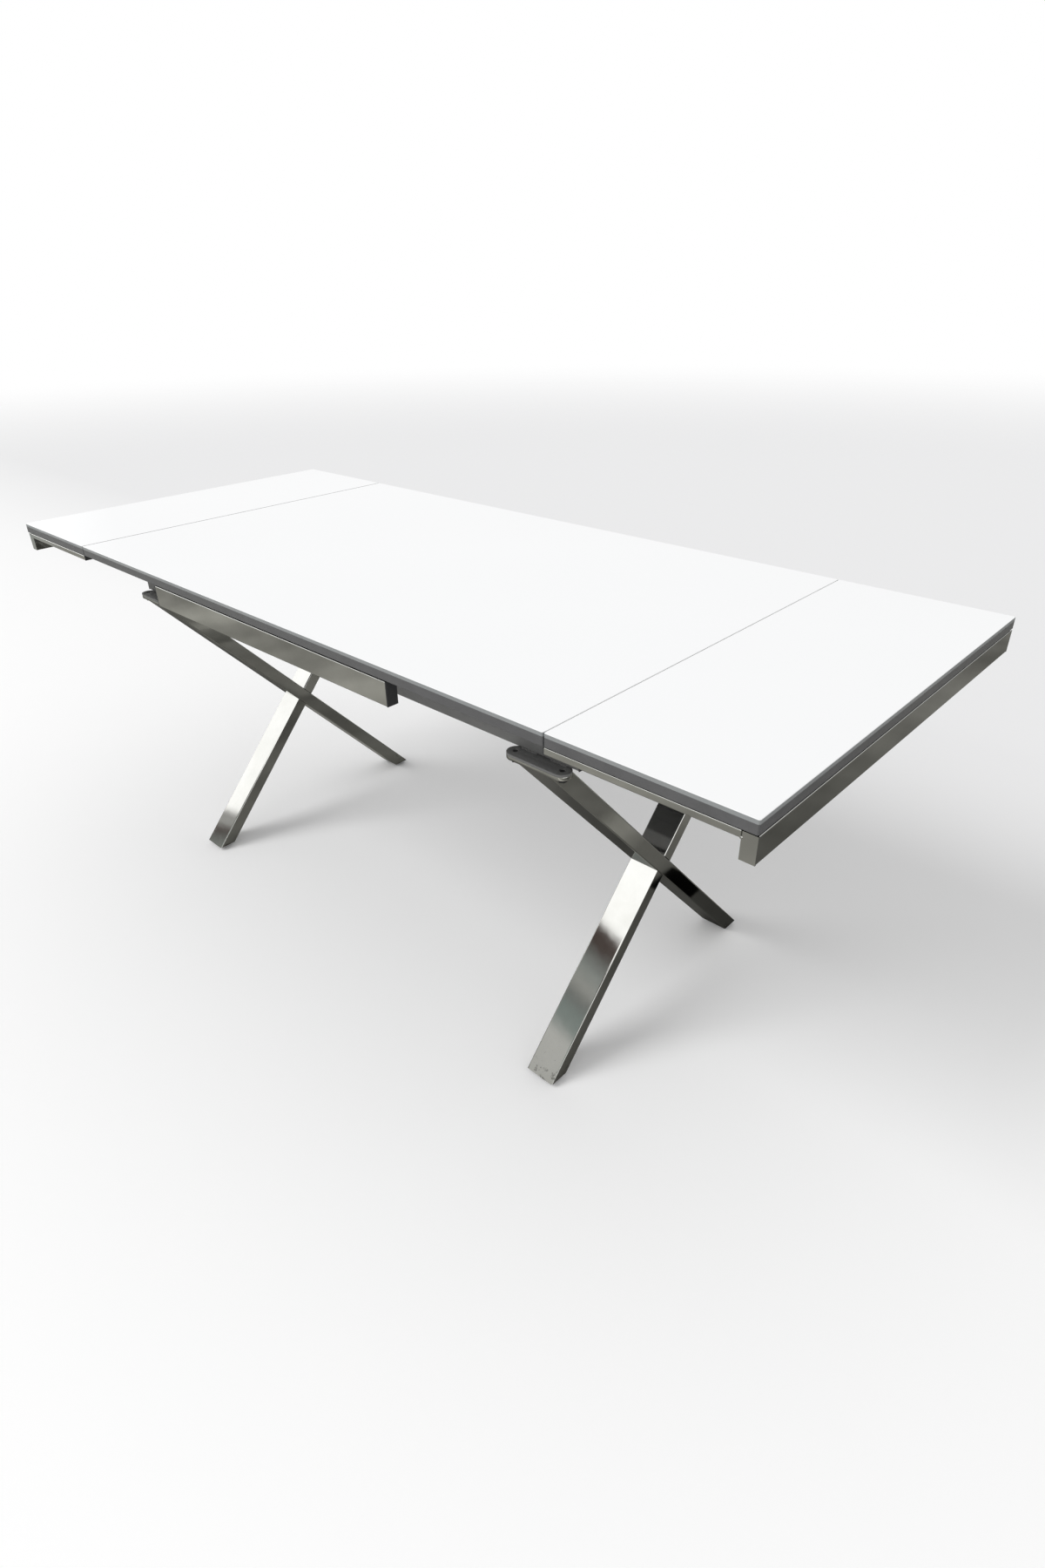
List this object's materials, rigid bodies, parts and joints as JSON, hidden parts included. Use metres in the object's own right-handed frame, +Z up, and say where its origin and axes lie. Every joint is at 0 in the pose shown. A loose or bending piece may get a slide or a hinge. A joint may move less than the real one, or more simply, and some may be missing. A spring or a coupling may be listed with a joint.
{
  "type": "extending table",
  "caption": "Rectangular extending dining table with a white glass top, crossed chrome legs, sliding end pull-outs and lift-off end leaves.",
  "frame": {"origin": "on the floor under the middle of the table", "axes": "+X along the length to the right-hand leaf, +Y across the width to the far side, +Z up"},
  "size_m": [1.9, 0.8, 0.77],
  "materials": {
    "white_glass": "polished clear glass, painted white on its back",
    "grey_board": "satin grey lacquer on a wood-fibre board",
    "chrome": "bright chrome plating",
    "frame_grey": "satin grey powder coat",
    "bare_steel": "zinc-plated steel",
    "black_plastic": "moulded, fine grain",
    "nylon": "moulded dark nylon",
    "rubber": "soft black rubber",
    "black_bolt": "blackened steel",
    "brass": "turned brass"
  },
  "bodies": {
    "root": {"apron_end_caps": "black_plastic", "apron_screws": "bare_steel", "apron_spacers": "rubber", "centre_apron_far": "chrome", "centre_apron_near": "chrome", "centre_top_board": "grey_board", "centre_top_glass": "white_glass", "cross_member_centre": "frame_grey", "cross_member_left": "frame_grey", "cross_member_right": "frame_grey", "flange_bolts": "black_bolt", "foot_glides": "black_plastic", "foot_plugs": "black_plastic", "frame_lugs": "frame_grey", "guide_bushes": "nylon", "left_long_leg": "chrome", "left_lower_half_leg": "chrome", "left_upper_half_leg": "chrome", "leg_flanges": "chrome", "main_rail_far": "frame_grey", "main_rail_near": "frame_grey", "rail_end_caps": "black_plastic", "right_long_leg": "chrome", "right_lower_half_leg": "chrome", "right_upper_half_leg": "chrome", "seam_pins": "bare_steel", "seam_plates": "bare_steel", "seam_screws": "bare_steel", "slide_guide_far": "frame_grey", "slide_guide_near": "frame_grey", "top_fixing_screws": "bare_steel", "top_fixing_tabs": "frame_grey"},
    "right_pullout": {"right_arm_end_caps": "black_plastic", "right_arm_far": "chrome", "right_arm_near": "chrome", "right_beam_end_caps": "chrome", "right_end_beam": "chrome", "right_leaf_pads": "rubber", "right_runner_far": "bare_steel", "right_runner_near": "bare_steel", "right_runner_sleeves": "nylon"},
    "left_pullout": {"left_arm_end_caps": "black_plastic", "left_arm_far": "chrome", "left_arm_near": "chrome", "left_beam_end_caps": "chrome", "left_end_beam": "chrome", "left_leaf_pads": "rubber", "left_runner_far": "bare_steel", "left_runner_near": "bare_steel", "left_runner_sleeves": "nylon"},
    "right_leaf": {"right_leaf_board": "grey_board", "right_leaf_glass": "white_glass", "right_leaf_sockets": "brass"},
    "left_leaf": {"left_leaf_board": "grey_board", "left_leaf_glass": "white_glass", "left_leaf_sockets": "brass"}
  },
  "joints": [
    {"name": "right_pullout_slide", "type": "slide", "parent": "root", "child": "right_pullout", "axis": [-1, 0, 0], "range_m": [0, 0.3]},
    {"name": "right_leaf_lift", "type": "slide", "parent": "root", "child": "right_leaf", "axis": [0, 0, 1], "range_m": [0, 0.25]},
    {"name": "left_pullout_slide", "type": "slide", "parent": "root", "child": "left_pullout", "axis": [1, 0, 0], "range_m": [0, 0.3]},
    {"name": "left_leaf_lift", "type": "slide", "parent": "root", "child": "left_leaf", "axis": [0, 0, 1], "range_m": [0, 0.25]}
  ]
}
